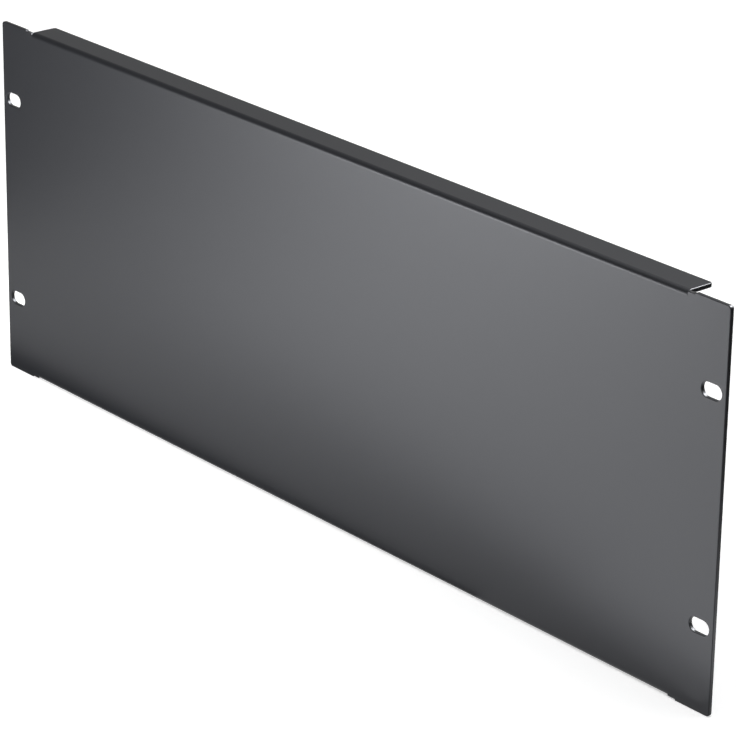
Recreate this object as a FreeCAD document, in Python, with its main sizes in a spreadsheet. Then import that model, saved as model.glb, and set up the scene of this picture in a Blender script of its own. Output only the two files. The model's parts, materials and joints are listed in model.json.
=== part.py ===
import FreeCAD, Part
import math
import os
import Sketcher

# Rack blanking panel, four rack units high: one folded sheet.
# Lengths are millimetres. The origin is at the centre of the slot pattern, on the rear face of
# the sheet that rests on the rack rails. X runs along the panel, Y into the rack, Z upwards.

os.makedirs("parts", exist_ok=True)
doc = FreeCAD.newDocument("BlankingPanel")
sizes = doc.addObject("Spreadsheet::Sheet", "Sizes")
row_count = 0

# How far lengths, directions and a cut's share of its volume may differ and still be the same.
length_tolerance = 1e-4
direction_tolerance = 1e-6
volume_tolerance = 0.01


def add_size(name, value):
    global row_count
    row_count += 1
    sizes.set("A%d" % row_count, name)
    sizes.set("B%d" % row_count, str(value))
    sizes.setAlias("B%d" % row_count, name)
    return value


# Overall sizes of a panel for a 19 inch rack, four units high.
panel_width = add_size("panel_width", 482.6)
panel_height = add_size("panel_height", 177.0)
sheet_thickness = add_size("sheet_thickness", 2.0)
corner_radius = add_size("corner_radius", 1.5)

# The flanges fold backwards along the top and the bottom. They stop short of the panel's ends
# by the width of an ear, and lie a little inside the edges of the ears.
ear_width = add_size("ear_width", 23.4)
fold_depth = add_size("fold_depth", 14.3)
flange_inset = add_size("flange_inset", 0.3)
bend_inner_radius = add_size("bend_inner_radius", 0.4)
flange_corner_radius = add_size("flange_corner_radius", 1.5)

# A shallow relief frees each end of a fold from the ear beside it.
relief_width = add_size("relief_width", 4.2)
relief_depth = add_size("relief_depth", 0.6)
relief_corner_radius = add_size("relief_corner_radius", 0.4)

# Four fixing slots, long across the panel. Their centres lie at set distances from the panel's
# ends and from its upper and lower edges, which gives the hole pattern of four rack units.
slot_length = add_size("slot_length", 11.0)
slot_height = add_size("slot_height", 6.6)
slot_end_distance = add_size("slot_end_distance", 7.95)
slot_edge_distance = add_size("slot_edge_distance", 37.7)
doc.recompute()

half_width = panel_width / 2
half_height = panel_height / 2
half_flange = half_width - ear_width
fold_level = half_height - flange_inset
flange_rear = fold_depth - sheet_thickness

body = doc.addObject("PartDesign::Body", "blanking_panel")
body.Label = "blanking_panel"
planes = {feature.Role: feature for feature in body.Origin.OriginFeatures}


def new_sketch(name, plane):
    sketch = body.newObject("Sketcher::SketchObject", name)
    sketch.AttachmentSupport = [(planes[plane], "")]
    sketch.MapMode = "FlatFace"
    return sketch


def draw_loop(sketch, points):
    # A closed run of straight lines. Each line is level or upright.
    count = len(points)
    for index in range(count):
        start = FreeCAD.Vector(points[index][0], points[index][1], 0)
        end = FreeCAD.Vector(points[(index + 1) % count][0], points[(index + 1) % count][1], 0)
        sketch.addGeometry(Part.LineSegment(start, end), False)
    for index in range(count):
        sketch.addConstraint(Sketcher.Constraint("Coincident", index, 2, (index + 1) % count, 1))
        if points[index][1] == points[(index + 1) % count][1]:
            sketch.addConstraint(Sketcher.Constraint("Horizontal", index))
        else:
            sketch.addConstraint(Sketcher.Constraint("Vertical", index))


def set_across(sketch, line, end, value, name, formula):
    # Distance of a point from the sketch's upright axis.
    index = sketch.addConstraint(Sketcher.Constraint("DistanceX", -1, 1, line, end, value))
    sketch.renameConstraint(index, name)
    sketch.setExpression("Constraints." + name, formula)


def set_up(sketch, line, end, value, name, formula):
    # Distance of a point from the sketch's level axis.
    index = sketch.addConstraint(Sketcher.Constraint("DistanceY", -1, 1, line, end, value))
    sketch.renameConstraint(index, name)
    sketch.setExpression("Constraints." + name, formula)


def check(feature):
    doc.recompute()
    states = feature.State
    if "Invalid" in states or "Error" in states:
        raise RuntimeError(feature.Name + " did not compute")
    return feature


def parallel_edges(shape, axis, fits):
    # Names of the straight edges that lie along an axis and whose middle point fits.
    names = []
    for index, edge in enumerate(shape.Edges):
        if edge.Curve.TypeId != "Part::GeomLine":
            continue
        direction = edge.Vertexes[-1].Point - edge.Vertexes[0].Point
        direction.normalize()
        if abs(abs(direction.dot(axis)) - 1) < direction_tolerance and fits(edge.CenterOfMass):
            names.append("Edge%d" % (index + 1))
    return names


def round_edges(name, base, names, radius_formula, expected):
    if len(names) != expected:
        raise RuntimeError(name + " found %d edges" % len(names))
    fillet = body.newObject("PartDesign::Fillet", name)
    fillet.Base = (base, names)
    fillet.setExpression("Radius", radius_formula)
    return check(fillet)


def near(value, target):
    return abs(value - target) < length_tolerance


# The folded section: the face between its two flanges, as one channel.
section = new_sketch("FoldSection", "YZ_Plane")
draw_loop(section, [
    (-sheet_thickness, -fold_level),
    (flange_rear, -fold_level),
    (flange_rear, -fold_level + sheet_thickness),
    (0, -fold_level + sheet_thickness),
    (0, fold_level - sheet_thickness),
    (flange_rear, fold_level - sheet_thickness),
    (flange_rear, fold_level),
    (-sheet_thickness, fold_level),
])
set_across(section, 7, 1, -sheet_thickness, "front", "-Sizes.sheet_thickness")
section.addConstraint(Sketcher.Constraint("PointOnObject", 3, 1, -2))
set_across(section, 0, 2, flange_rear, "rear_below", "Sizes.fold_depth - Sizes.sheet_thickness")
set_across(section, 5, 2, flange_rear, "rear_above", "Sizes.fold_depth - Sizes.sheet_thickness")
set_up(section, 0, 1, -fold_level, "below", "-(Sizes.panel_height / 2 - Sizes.flange_inset)")
set_up(section, 6, 2, fold_level, "above", "Sizes.panel_height / 2 - Sizes.flange_inset")
set_up(section, 2, 1, -fold_level + sheet_thickness, "inner_below",
       "-(Sizes.panel_height / 2 - Sizes.flange_inset - Sizes.sheet_thickness)")
set_up(section, 5, 1, fold_level - sheet_thickness, "inner_above",
       "Sizes.panel_height / 2 - Sizes.flange_inset - Sizes.sheet_thickness")

channel = body.newObject("PartDesign::Pad", "FoldedChannel")
channel.Profile = section
channel.Midplane = True
channel.setExpression("Length", "Sizes.panel_width - 2 * Sizes.ear_width")
check(channel)

# The bends keep the sheet's thickness all the way round.
along = FreeCAD.Vector(1, 0, 0)
outer_names = parallel_edges(
    channel.Shape, along,
    lambda point: near(point.y, -sheet_thickness) and near(abs(point.z), fold_level))
outer_bends = round_edges(
    "OuterBends", channel, outer_names, "Sizes.bend_inner_radius + Sizes.sheet_thickness", 2)
inner_names = parallel_edges(
    outer_bends.Shape, along,
    lambda point: near(point.y, 0) and near(abs(point.z), fold_level - sheet_thickness))
inner_bends = round_edges("InnerBends", outer_bends, inner_names, "Sizes.bend_inner_radius", 2)

# The ears stay flat and reach the full height and width.
ear_outline = new_sketch("EarOutline", "XZ_Plane")
draw_loop(ear_outline, [
    (half_flange, -half_height),
    (half_width, -half_height),
    (half_width, half_height),
    (half_flange, half_height),
])
set_across(ear_outline, 0, 1, half_flange, "ear_root", "Sizes.panel_width / 2 - Sizes.ear_width")
set_across(ear_outline, 0, 2, half_width, "ear_end", "Sizes.panel_width / 2")
set_up(ear_outline, 0, 1, -half_height, "ear_below", "-Sizes.panel_height / 2")
set_up(ear_outline, 2, 1, half_height, "ear_above", "Sizes.panel_height / 2")

ear = body.newObject("PartDesign::Pad", "Ear")
ear.Profile = ear_outline
ear.setExpression("Length", "Sizes.sheet_thickness")
check(ear)

far_ear = body.newObject("PartDesign::Mirrored", "FarEar")
far_ear.Originals = [ear]
far_ear.MirrorPlane = (planes["YZ_Plane"], [""])
check(far_ear)
body.Tip = far_ear


def add_pattern(name, cut, sketch, across_formula, up_formula):
    # The cut is made at the lower end on the near side and repeated across and upwards.
    pattern = body.newObject("PartDesign::MultiTransform", name)
    pattern.Originals = [cut]
    steps = []
    for suffix, axis, formula in (("Across", "H_Axis", across_formula), ("Up", "V_Axis", up_formula)):
        step = doc.addObject("PartDesign::LinearPattern", name + suffix)
        body.addObject(step)
        step.Direction = (sketch, [axis])
        step.Occurrences = 2
        step.setExpression("Length", formula)
        steps.append(step)
    pattern.Transformations = steps
    body.Tip = pattern
    return check(pattern)


# Bend reliefs between the folds and the ears.
relief_outline = new_sketch("ReliefOutline", "XZ_Plane")
draw_loop(relief_outline, [
    (-half_flange - relief_width, -half_height),
    (-half_flange, -half_height),
    (-half_flange, -half_height + relief_depth),
    (-half_flange - relief_width, -half_height + relief_depth),
])
set_across(relief_outline, 1, 1, -half_flange, "relief_inner",
           "-(Sizes.panel_width / 2 - Sizes.ear_width)")
set_across(relief_outline, 0, 1, -half_flange - relief_width, "relief_outer",
           "-(Sizes.panel_width / 2 - Sizes.ear_width + Sizes.relief_width)")
set_up(relief_outline, 0, 1, -half_height, "relief_below", "-Sizes.panel_height / 2")
set_up(relief_outline, 2, 1, -half_height + relief_depth, "relief_above",
       "-Sizes.panel_height / 2 + Sizes.relief_depth")

relief = body.newObject("PartDesign::Pocket", "Relief")
relief.Profile = relief_outline
relief.Reversed = True
relief.setExpression("Length", "Sizes.sheet_thickness")
check(relief)
volume_before = far_ear.Shape.Volume
reliefs = add_pattern(
    "Reliefs", relief, relief_outline,
    "Sizes.panel_width - 2 * Sizes.ear_width + Sizes.relief_width",
    "Sizes.panel_height - Sizes.relief_depth")
one_relief = relief_width * relief_depth * sheet_thickness
if abs(volume_before - reliefs.Shape.Volume - 4 * one_relief) > volume_tolerance * one_relief:
    raise RuntimeError("the reliefs took the wrong volume")

# Fixing slots with round ends.
slot_across = -half_width + slot_end_distance
slot_up = -half_height + slot_edge_distance
slot_radius = slot_height / 2
slot_reach = slot_length / 2 - slot_radius
slot_outline = new_sketch("SlotOutline", "XZ_Plane")
near_centre = FreeCAD.Vector(slot_across - slot_reach, slot_up, 0)
far_centre = FreeCAD.Vector(slot_across + slot_reach, slot_up, 0)
rise = FreeCAD.Vector(0, slot_radius, 0)
level = FreeCAD.Vector(0, 0, 1)
quarter = math.pi / 2
slot_outline.addGeometry(Part.LineSegment(near_centre - rise, far_centre - rise), False)
slot_outline.addGeometry(Part.LineSegment(far_centre + rise, near_centre + rise), False)
slot_outline.addGeometry(
    Part.ArcOfCircle(Part.Circle(far_centre, level, slot_radius), -quarter, quarter), False)
slot_outline.addGeometry(
    Part.ArcOfCircle(Part.Circle(near_centre, level, slot_radius), quarter, 3 * quarter), False)
slot_outline.addConstraint(Sketcher.Constraint("Tangent", 0, 2, 2, 1))
slot_outline.addConstraint(Sketcher.Constraint("Tangent", 2, 2, 1, 1))
slot_outline.addConstraint(Sketcher.Constraint("Tangent", 1, 2, 3, 1))
slot_outline.addConstraint(Sketcher.Constraint("Tangent", 3, 2, 0, 1))
slot_outline.addConstraint(Sketcher.Constraint("Horizontal", 0))
radius_index = slot_outline.addConstraint(Sketcher.Constraint("Radius", 2, slot_radius))
slot_outline.renameConstraint(radius_index, "end_radius")
slot_outline.setExpression("Constraints.end_radius", "Sizes.slot_height / 2")
set_across(slot_outline, 2, 3, slot_across + slot_reach, "inner_centre",
           "-Sizes.panel_width / 2 + Sizes.slot_end_distance + (Sizes.slot_length - Sizes.slot_height) / 2")
set_across(slot_outline, 3, 3, slot_across - slot_reach, "outer_centre",
           "-Sizes.panel_width / 2 + Sizes.slot_end_distance - (Sizes.slot_length - Sizes.slot_height) / 2")
set_up(slot_outline, 2, 3, slot_up, "slot_level", "-Sizes.panel_height / 2 + Sizes.slot_edge_distance")

slot = body.newObject("PartDesign::Pocket", "Slot")
slot.Profile = slot_outline
slot.Reversed = True
slot.setExpression("Length", "Sizes.sheet_thickness")
check(slot)
volume_before = reliefs.Shape.Volume
slots = add_pattern(
    "Slots", slot, slot_outline,
    "Sizes.panel_width - 2 * Sizes.slot_end_distance",
    "Sizes.panel_height - 2 * Sizes.slot_edge_distance")
slot_area = 2 * slot_reach * slot_height + math.pi * slot_radius * slot_radius
one_slot = slot_area * sheet_thickness
if abs(volume_before - slots.Shape.Volume - 4 * one_slot) > volume_tolerance * one_slot:
    raise RuntimeError("the slots took the wrong volume")

# Rounded corners: the four of the face, the four beside the reliefs, the four of the flanges.
through = FreeCAD.Vector(0, 1, 0)
upright = FreeCAD.Vector(0, 0, 1)
corner_names = parallel_edges(
    slots.Shape, through,
    lambda point: near(abs(point.x), half_width) and near(abs(point.z), half_height))
face_corners = round_edges("FaceCorners", slots, corner_names, "Sizes.corner_radius", 4)
relief_names = parallel_edges(
    face_corners.Shape, through,
    lambda point: near(abs(point.x), half_flange + relief_width) and near(abs(point.z), half_height))
relief_corners = round_edges(
    "ReliefCorners", face_corners, relief_names, "Sizes.relief_corner_radius", 4)
flange_names = parallel_edges(
    relief_corners.Shape, upright,
    lambda point: near(abs(point.x), half_flange) and near(point.y, flange_rear))
flange_corners = round_edges(
    "FlangeCorners", relief_corners, flange_names, "Sizes.flange_corner_radius", 4)
body.Tip = flange_corners
doc.recompute()

for item in doc.Objects:
    if "Invalid" in item.State or "Error" in item.State:
        raise RuntimeError(item.Name + " did not compute")
panel = body.Shape
if panel.isNull() or not panel.isValid() or len(panel.Solids) != 1:
    raise RuntimeError("the panel is not one sound solid")
panel.exportStep("parts/blanking_panel.step")
box = panel.BoundBox
print("blanking_panel", box.XMin, box.XMax, box.YMin, box.YMax, box.ZMin, box.ZMax, panel.Volume)
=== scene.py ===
import bmesh
import bpy
import json
import math
from mathutils import Matrix, Quaternion, Vector


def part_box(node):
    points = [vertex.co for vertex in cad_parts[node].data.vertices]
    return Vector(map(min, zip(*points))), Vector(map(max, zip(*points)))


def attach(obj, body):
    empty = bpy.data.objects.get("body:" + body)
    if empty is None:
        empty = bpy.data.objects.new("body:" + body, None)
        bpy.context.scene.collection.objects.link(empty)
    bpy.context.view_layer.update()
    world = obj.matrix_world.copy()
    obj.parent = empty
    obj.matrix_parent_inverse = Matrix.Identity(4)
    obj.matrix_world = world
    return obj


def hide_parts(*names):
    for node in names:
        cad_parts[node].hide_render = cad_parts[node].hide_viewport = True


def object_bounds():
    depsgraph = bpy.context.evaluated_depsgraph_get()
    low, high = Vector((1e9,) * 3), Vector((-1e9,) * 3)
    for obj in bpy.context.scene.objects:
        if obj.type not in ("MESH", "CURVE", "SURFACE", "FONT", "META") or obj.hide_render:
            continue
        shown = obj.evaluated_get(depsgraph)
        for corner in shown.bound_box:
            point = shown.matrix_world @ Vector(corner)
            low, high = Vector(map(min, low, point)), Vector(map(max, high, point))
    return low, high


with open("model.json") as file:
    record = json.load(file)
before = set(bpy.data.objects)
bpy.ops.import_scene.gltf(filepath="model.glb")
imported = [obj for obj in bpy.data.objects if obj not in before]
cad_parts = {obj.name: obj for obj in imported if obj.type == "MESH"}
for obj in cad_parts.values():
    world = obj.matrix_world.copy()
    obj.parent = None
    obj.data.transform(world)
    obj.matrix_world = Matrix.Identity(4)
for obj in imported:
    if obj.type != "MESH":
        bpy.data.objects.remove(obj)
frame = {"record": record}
cad_low, cad_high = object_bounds()

# The panel's outer sizes come from the frame and its slots from the record. Lengths are metres.
panel_low, panel_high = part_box("blanking_panel")
HALF_WIDTH = panel_high.x
HALF_HEIGHT = panel_high.z
SHEET_THICKNESS = -panel_low.y
FLANGE_REAR = panel_high.y
CORNER_RADIUS = 0.0015
EAR_WIDTH = 0.0234
FLANGE_INSET = 0.0003
BEND_OUTER_RADIUS = 0.0024
FLANGE_CORNER_RADIUS = 0.0015
RELIEF_WIDTH = 0.0042
RELIEF_DEPTH = 0.0006
RELIEF_CORNER_RADIUS = 0.0004

HALF_FLANGE = HALF_WIDTH - EAR_WIDTH
FOLD_LEVEL = HALF_HEIGHT - FLANGE_INSET
TANGENT_LEVEL = FOLD_LEVEL - BEND_OUTER_RADIUS
FRONT = -SHEET_THICKNESS

MILLIMETRE = 0.001
rail_screws = next(m for m in frame["record"]["mounts"] if m["name"] == "rail_screws")
SLOT_X = rail_screws["dims"]["spacing_x_mm"] * MILLIMETRE / 2
SLOT_Z = rail_screws["dims"]["spacing_y_mm"] * MILLIMETRE / 2
SLOT_END_RADIUS = rail_screws["dims"]["hole_r_mm"] * MILLIMETRE
SLOT_REACH = rail_screws["dims"]["slot_length_mm"] * MILLIMETRE / 2 - SLOT_END_RADIUS

# The coat rounds every cut edge a little, and less in the tight reliefs.
EDGE_ROUNDING = 0.0004
RELIEF_ROUNDING = 0.0003

# The straight steps that make up each round stretch.
BEND_STEPS = 10
ROUNDING_STEPS = 4
CORNER_STEPS = 8
RELIEF_CORNER_STEPS = 4
SLOT_END_STEPS = 16
# Along a bend's end, the cut edge's rounding grows to its full size over this many steps.
ROUNDING_RUN_IN = 3
# Points closer than this are one point.
SAME_PLACE = 0.0000001

COAT_BLACK = (0.0095, 0.0100, 0.0115, 1)
COAT_ROUGHNESS = 0.40
COAT_SHINE = 0.28
COAT_SHINE_TINT = (0.91, 0.93, 1.0, 1)
PEEL_SCALE = 900
PEEL_DETAIL = 3
PEEL_STRENGTH = 0.06
PEEL_DEPTH = 0.00004

WHITE = (1, 1, 1, 1)
ROOM_LEVEL = 0.1
FLOOR_REACH = 4.0
FLOOR_GREY = (0.8, 0.8, 0.8, 1)
FLOOR_ROUGHNESS = 0.9
FLOOR_GLOW = 0.48
CARD_BLACK = (0.01, 0.01, 0.01, 1)
CARD_LIFT = 0.0001
LYING_LIFT = 0.004

# The camera stands in front of the panel's right end, a little above it.
CAMERA_PLACE = Vector((1.1334, -0.9577, 0.5874))
CAMERA_HEADING = math.radians(-49.125)
CAMERA_DOWN = math.radians(22.052)
CAMERA_ROLL = math.radians(0.894)
LENS_MM = 177.6
SENSOR_MM = 36


def arc(centre, radius, start, end, steps):
    """Points of an arc from start to end, in degrees, both ends included."""
    turns = [math.radians(start + (end - start) * i / steps) for i in range(steps + 1)]
    return [(centre[0] + radius * math.cos(t), centre[1] + radius * math.sin(t)) for t in turns]


def face_quarter():
    """The outline of the flat face from the upper fold's end to the right side.

    Each point is (x, z, rounding), where rounding is the size of the sheet's rounded edge there.
    """
    relief_level = HALF_HEIGHT - RELIEF_DEPTH
    ear_start = HALF_FLANGE + RELIEF_WIDTH
    relief_corner = (ear_start + RELIEF_CORNER_RADIUS, HALF_HEIGHT - RELIEF_CORNER_RADIUS)
    relief = [(HALF_FLANGE, relief_level), (ear_start, relief_level)]
    relief += arc(relief_corner, RELIEF_CORNER_RADIUS, 180, 90, RELIEF_CORNER_STEPS)
    ear_corner = (HALF_WIDTH - CORNER_RADIUS, HALF_HEIGHT - CORNER_RADIUS)
    ear = [(ear_start + 2 * RELIEF_CORNER_RADIUS + EDGE_ROUNDING, HALF_HEIGHT)]
    ear += arc(ear_corner, CORNER_RADIUS, 90, 0, CORNER_STEPS)
    points = [(HALF_FLANGE, TANGENT_LEVEL, 0)]
    points += [(x, z, RELIEF_ROUNDING) for x, z in relief]
    points += [(x, z, EDGE_ROUNDING) for x, z in ear]
    return points


def face_outline():
    """The whole outline of the flat face, clockwise as seen from the front."""
    quarter = face_quarter()
    upper_right = quarter
    lower_right = [(x, -z, rounding) for x, z, rounding in reversed(quarter)]
    lower_left = [(-x, -z, rounding) for x, z, rounding in quarter]
    upper_left = [(-x, z, rounding) for x, z, rounding in reversed(quarter)]
    return upper_right + lower_right + lower_left + upper_left


def slot_outline(centre_x, centre_z):
    """The outline of one slot, long across the panel, anticlockwise as seen from the front."""
    outline = arc((centre_x + SLOT_REACH, centre_z), SLOT_END_RADIUS, -90, 90, SLOT_END_STEPS)
    outline += arc((centre_x - SLOT_REACH, centre_z), SLOT_END_RADIUS, 90, 270, SLOT_END_STEPS)
    return [(x, z, EDGE_ROUNDING) for x, z in outline]


def into_sheet(before, point, after):
    """The direction from an outline's point into the sheet, which lies to the right of its path."""
    sides = []
    for start, end in ((before, point), (point, after)):
        along = Vector((end[0] - start[0], end[1] - start[1])).normalized()
        sides.append(Vector((along.y, -along.x)))
    return (sides[0] + sides[1]) / (1 + sides[0].dot(sides[1]))


def add_corner(mesh, rims, place, inward, outward, rounding):
    """A point of the outer skin where the sheet ends. rims keeps what its rounded edge needs."""
    corner = mesh.verts.new(place + inward * rounding)
    rims[corner] = (place, inward, outward, rounding)
    return corner


def add_loop(mesh, rims, outline):
    """A closed run of edges on the front face. Returns its corners and edges."""
    outward = Vector((0, -1, 0))
    corners = []
    for i, (x, z, rounding) in enumerate(outline):
        inward = into_sheet(outline[i - 1], outline[i], outline[(i + 1) % len(outline)])
        inward = Vector((inward.x, 0, inward.y))
        corners.append(add_corner(mesh, rims, Vector((x, FRONT, z)), inward, outward, rounding))
    edges = [mesh.edges.new(pair) for pair in zip(corners, corners[1:] + corners[:1])]
    return corners, edges


def add_fold(mesh, rims, left, right, side):
    """One bend and its flange, from the face's fold line. side is 1 above and -1 below."""
    across = Vector((1, 0, 0))
    bend_centre = Vector((0, FRONT + BEND_OUTER_RADIUS, side * TANGENT_LEVEL))
    for i in range(1, BEND_STEPS + 1):
        turn = math.pi / 2 * i / BEND_STEPS
        outward = Vector((0, -math.cos(turn), side * math.sin(turn)))
        place = bend_centre + outward * BEND_OUTER_RADIUS
        rounding = EDGE_ROUNDING * min(1, i / ROUNDING_RUN_IN)
        left_end = place - across * HALF_FLANGE
        right_end = place + across * HALF_FLANGE
        next_left = add_corner(mesh, rims, left_end, across, outward, rounding)
        next_right = add_corner(mesh, rims, right_end, -across, outward, rounding)
        mesh.faces.new((left, right, next_right, next_left))
        left, right = next_left, next_right
    outward = Vector((0, 0, side))
    corner_x = HALF_FLANGE - FLANGE_CORNER_RADIUS
    corner_y = FLANGE_REAR - FLANGE_CORNER_RADIUS
    rear = []
    for centre_x, start, end in ((corner_x, 0, 90), (-corner_x, 90, 180)):
        centre = Vector((centre_x, corner_y, side * FOLD_LEVEL))
        for x, y in arc((0, 0), 1, start, end, CORNER_STEPS):
            radial = Vector((x, y, 0))
            place = centre + radial * FLANGE_CORNER_RADIUS
            rear.append(add_corner(mesh, rims, place, -radial, outward, EDGE_ROUNDING))
    mesh.faces.new([left, right] + rear)


def edge_profile(rounding):
    """The sheet's rounded edge from the outer to the inner skin, as (distance in, depth)."""
    turns = [math.pi / 2 * i / ROUNDING_STEPS for i in range(ROUNDING_STEPS + 1)]
    outer = [(rounding * (1 - math.sin(t)), rounding * (1 - math.cos(t))) for t in turns]
    inner = [(inset, SHEET_THICKNESS - depth) for inset, depth in reversed(outer)]
    return outer + inner


def add_thickness(mesh, rims):
    """Closes the outer skin into a sheet: an inner skin at even depth, and the rounded edges."""
    outer_faces = list(mesh.faces)
    open_edges = [edge for edge in mesh.edges if len(edge.link_faces) == 1]
    strips = {}
    for corner, (place, inward, outward, rounding) in rims.items():
        strips[corner] = [corner]
        for inset, depth in edge_profile(rounding)[1:]:
            strips[corner].append(mesh.verts.new(place + inward * inset - outward * depth))
    for face in outer_faces:
        mesh.faces.new([strips[corner][-1] for corner in reversed(face.verts)])
    for edge in open_edges:
        first, second = (strips[corner] for corner in edge.verts)
        for i in range(len(first) - 1):
            mesh.faces.new((first[i], second[i], second[i + 1], first[i + 1]))
    bmesh.ops.remove_doubles(mesh, verts=mesh.verts, dist=SAME_PLACE)


def add_object(name, data):
    """Puts a mesh, a lamp or a camera into the scene."""
    thing = bpy.data.objects.new(name, data)
    bpy.context.scene.collection.objects.link(thing)
    return thing


def build_panel():
    """The folded sheet as one closed mesh."""
    mesh = bmesh.new()
    rims = {}
    corners, edges = add_loop(mesh, rims, face_outline())
    for x in (-SLOT_X, SLOT_X):
        for z in (-SLOT_Z, SLOT_Z):
            edges += add_loop(mesh, rims, slot_outline(x, z))[1]
    bmesh.ops.triangle_fill(mesh, use_beauty=True, edges=edges, normal=(0, -1, 0))
    # Each quarter of the outline starts or ends where a fold does.
    quarter_count = len(corners) // 4
    upper_right = corners[0]
    lower_right = corners[2 * quarter_count - 1]
    lower_left = corners[2 * quarter_count]
    upper_left = corners[-1]
    add_fold(mesh, rims, upper_left, upper_right, 1)
    add_fold(mesh, rims, lower_left, lower_right, -1)
    bmesh.ops.recalc_face_normals(mesh, faces=mesh.faces)
    add_thickness(mesh, rims)
    bmesh.ops.recalc_face_normals(mesh, faces=mesh.faces)
    for face in mesh.faces:
        face.smooth = True
    data = bpy.data.meshes.new("folded_sheet")
    mesh.to_mesh(data)
    mesh.free()
    panel = add_object("folded_sheet", data)
    # Large faces set the shading, so they stay flat and only the rounded edges turn the light.
    shading = panel.modifiers.new("flat_faces", "WEIGHTED_NORMAL")
    shading.weight = 100
    return panel


def new_material(name):
    """A material and its shader."""
    material = bpy.data.materials.new(name)
    material.use_nodes = True
    return material, material.node_tree.nodes["Principled BSDF"]


def powder_coat():
    """Satin black powder coat with a very fine orange peel."""
    material, coat = new_material("black_powder_coat")
    nodes = material.node_tree.nodes
    links = material.node_tree.links
    coat.inputs["Base Color"].default_value = COAT_BLACK
    coat.inputs["Roughness"].default_value = COAT_ROUGHNESS
    coat.inputs["Specular IOR Level"].default_value = COAT_SHINE
    coat.inputs["Specular Tint"].default_value = COAT_SHINE_TINT
    place = nodes.new("ShaderNodeTexCoord")
    peel = nodes.new("ShaderNodeTexNoise")
    peel.inputs["Scale"].default_value = PEEL_SCALE
    peel.inputs["Detail"].default_value = PEEL_DETAIL
    relief = nodes.new("ShaderNodeBump")
    relief.inputs["Strength"].default_value = PEEL_STRENGTH
    relief.inputs["Distance"].default_value = PEEL_DEPTH
    links.new(place.outputs["Object"], peel.inputs["Vector"])
    links.new(peel.outputs["Fac"], relief.inputs["Height"])
    links.new(relief.outputs["Normal"], coat.inputs["Normal"])
    return material


def seen_ray(nodes, links):
    """1 for rays that show the background itself: from the camera, a reflection or glass."""
    path = nodes.new("ShaderNodeLightPath")
    seen = path.outputs["Is Camera Ray"]
    for kind in ("Is Glossy Ray", "Is Transmission Ray"):
        either = nodes.new("ShaderNodeMath")
        either.operation = "MAXIMUM"
        links.new(seen, either.inputs[0])
        links.new(path.outputs[kind], either.inputs[1])
        seen = either.outputs[0]
    return seen


def build_floor():
    """A plain white floor under the panel, which keeps its shadow."""
    level = cad_low.z
    data = bpy.data.meshes.new("floor")
    corners = [(-FLOOR_REACH, -FLOOR_REACH, level), (FLOOR_REACH, -FLOOR_REACH, level),
               (FLOOR_REACH, FLOOR_REACH, level), (-FLOOR_REACH, FLOOR_REACH, level)]
    data.from_pydata(corners, [], [(0, 1, 2, 3)])
    floor = add_object("floor", data)
    material, surface = new_material("white_floor")
    nodes = material.node_tree.nodes
    links = material.node_tree.links
    surface.inputs["Base Color"].default_value = FLOOR_GREY
    surface.inputs["Roughness"].default_value = FLOOR_ROUGHNESS
    surface.inputs["Specular IOR Level"].default_value = 0
    surface.inputs["Emission Color"].default_value = WHITE
    glow = nodes.new("ShaderNodeMath")
    glow.operation = "MULTIPLY"
    glow.inputs[1].default_value = FLOOR_GLOW
    links.new(seen_ray(nodes, links), glow.inputs[0])
    links.new(glow.outputs[0], surface.inputs["Emission Strength"])
    data.materials.append(material)


def build_world():
    """The dim white room around the softboxes."""
    world = bpy.data.worlds.new("studio")
    bpy.context.scene.world = world
    world.use_nodes = True
    room = world.node_tree.nodes["Background"]
    room.inputs["Color"].default_value = WHITE
    room.inputs["Strength"].default_value = ROOM_LEVEL


def add_softbox(name, place, aim, width, height, radiance, turn=0):
    """A soft light at a place, aimed at a point and turned about that line in degrees."""
    lamp = bpy.data.lights.new(name, "AREA")
    lamp.shape = "RECTANGLE"
    lamp.size = width
    lamp.size_y = height
    lamp.energy = radiance * math.pi * width * height
    softbox = add_object(name, lamp)
    softbox.location = place
    softbox.rotation_mode = "QUATERNION"
    aimed = (Vector(aim) - Vector(place)).to_track_quat("-Z", "Y")
    softbox.rotation_quaternion = aimed @ Quaternion((0, 0, 1), math.radians(turn))
    softbox.visible_camera = False
    return softbox


def add_lying_softbox(name, x, y, width, height, radiance, turn=0):
    """A softbox that lies just above the floor and shines straight up."""
    level = cad_low.z + LYING_LIFT
    return add_softbox(name, (x, y, level), (x, y, level + 1), width, height, radiance, turn)


def add_black_card(name, corners):
    """A black card that darkens a reflection. It casts no shadow and the camera doesn't see it."""
    data = bpy.data.meshes.new(name)
    data.from_pydata(corners, [], [(0, 1, 2, 3)])
    card = add_object(name, data)
    material, surface = new_material(name)
    surface.inputs["Base Color"].default_value = CARD_BLACK
    data.materials.append(material)
    card.visible_camera = False
    card.visible_diffuse = False
    card.visible_shadow = False


def standing_card(start, end, height):
    """The corners of a card that stands on the floor between two points."""
    floor = cad_low.z
    return [(*start, floor), (*end, floor), (*end, floor + height), (*start, floor + height)]


def lying_card(left, right, back, left_front, right_front):
    """The corners of a card that lies on the floor along the panel's front."""
    level = cad_low.z + CARD_LIFT
    return [(left, back, level), (left, left_front, level),
            (right, right_front, level), (right, back, level)]


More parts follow.
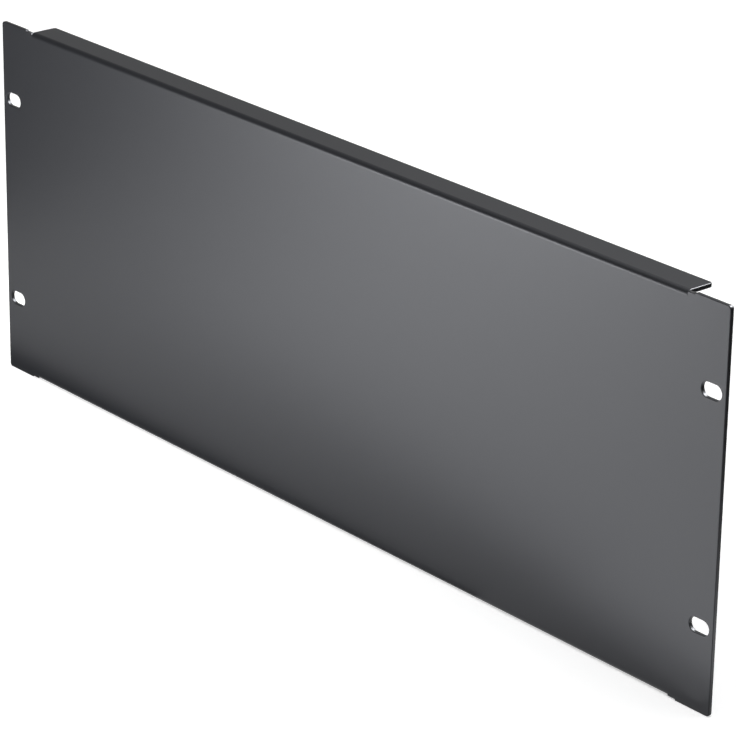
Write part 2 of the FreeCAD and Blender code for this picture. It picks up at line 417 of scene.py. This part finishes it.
def build_softboxes():
    """The lights. The face shows most of them as soft reflections."""
    floor = cad_low.z
    middle = (0, 0, 0)
    # These give the face its gradient and the light streak under the upper bend.
    add_lying_softbox("lying_softbox", x=0.03, y=-0.275, width=0.55, height=0.41,
                      radiance=2.32, turn=-12)
    add_lying_softbox("corner_softbox", x=0.18, y=-0.035, width=0.12, height=0.04,
                      radiance=0.5, turn=-12)
    add_softbox("low_softbox", place=(-0.33, -0.50, floor + 0.079), aim=middle,
                width=0.28, height=0.135, radiance=20)
    add_softbox("high_softbox", place=(-0.25, -0.40, floor + 0.165), aim=middle,
                width=0.15, height=0.045, radiance=46)
    # This one shows in the upper flange.
    add_softbox("wide_softbox", place=(-1.25, 0.75, floor + 0.60), aim=(0, 0, floor + 0.15),
                width=1.1, height=0.6, radiance=0.39)
    # This one lights the floor and the whole panel from above.
    add_softbox("overhead_softbox", place=(0, 0, 1.6), aim=middle,
                width=1.8, height=1.9, radiance=2.7)
    # These two light by reflection alone, in the cut edges, the slots and the upper flange.
    rim = add_softbox("rim_softbox", place=(0.40, 1.15, 1.50), aim=middle,
                      width=1.2, height=1.2, radiance=55)
    edge = add_lying_softbox("edge_softbox", x=0.29, y=0.04, width=0.06, height=0.05, radiance=2)
    rim.visible_diffuse = False
    edge.visible_diffuse = False


def build_cards():
    """The black cards, which darken the face's left side, the right edge and the face's foot."""
    add_black_card("left_card", standing_card(start=(-0.43, -0.421), end=(-0.43, 0.049), height=0.23))
    add_black_card("right_card", standing_card(start=(0.552, -0.078), end=(0.218, 0.320), height=0.31))
    # The foot card is a painted shadow: seen only in reflection, it paints the floor's contact shadow
    # into the face's foot.
    add_black_card("foot_shadow_card", lying_card(left=-0.45, right=0.10, back=-0.0025,
                                           left_front=-0.022, right_front=-0.006))


def build_camera():
    """The camera, turned to its heading, tipped down and rolled a little."""
    heading = Vector((math.sin(CAMERA_HEADING), math.cos(CAMERA_HEADING), 0))
    forward = heading * math.cos(CAMERA_DOWN) - Vector((0, 0, math.sin(CAMERA_DOWN)))
    level = forward.cross(Vector((0, 0, 1))).normalized()
    upright = level.cross(forward)
    right = level * math.cos(CAMERA_ROLL) + upright * math.sin(CAMERA_ROLL)
    up = upright * math.cos(CAMERA_ROLL) - level * math.sin(CAMERA_ROLL)
    turn = Matrix((right, up, -forward)).transposed()
    data = bpy.data.cameras.new("camera")
    data.lens = LENS_MM
    data.sensor_width = SENSOR_MM
    camera = add_object("camera", data)
    camera.matrix_world = Matrix.Translation(CAMERA_PLACE) @ turn.to_4x4()
    bpy.context.scene.camera = camera


bpy.context.scene.view_settings.view_transform = "Standard"
panel = build_panel()
panel.data.materials.append(powder_coat())
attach(panel, "root")
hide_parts("blanking_panel")
build_floor()
build_world()
build_softboxes()
build_cards()
build_camera()
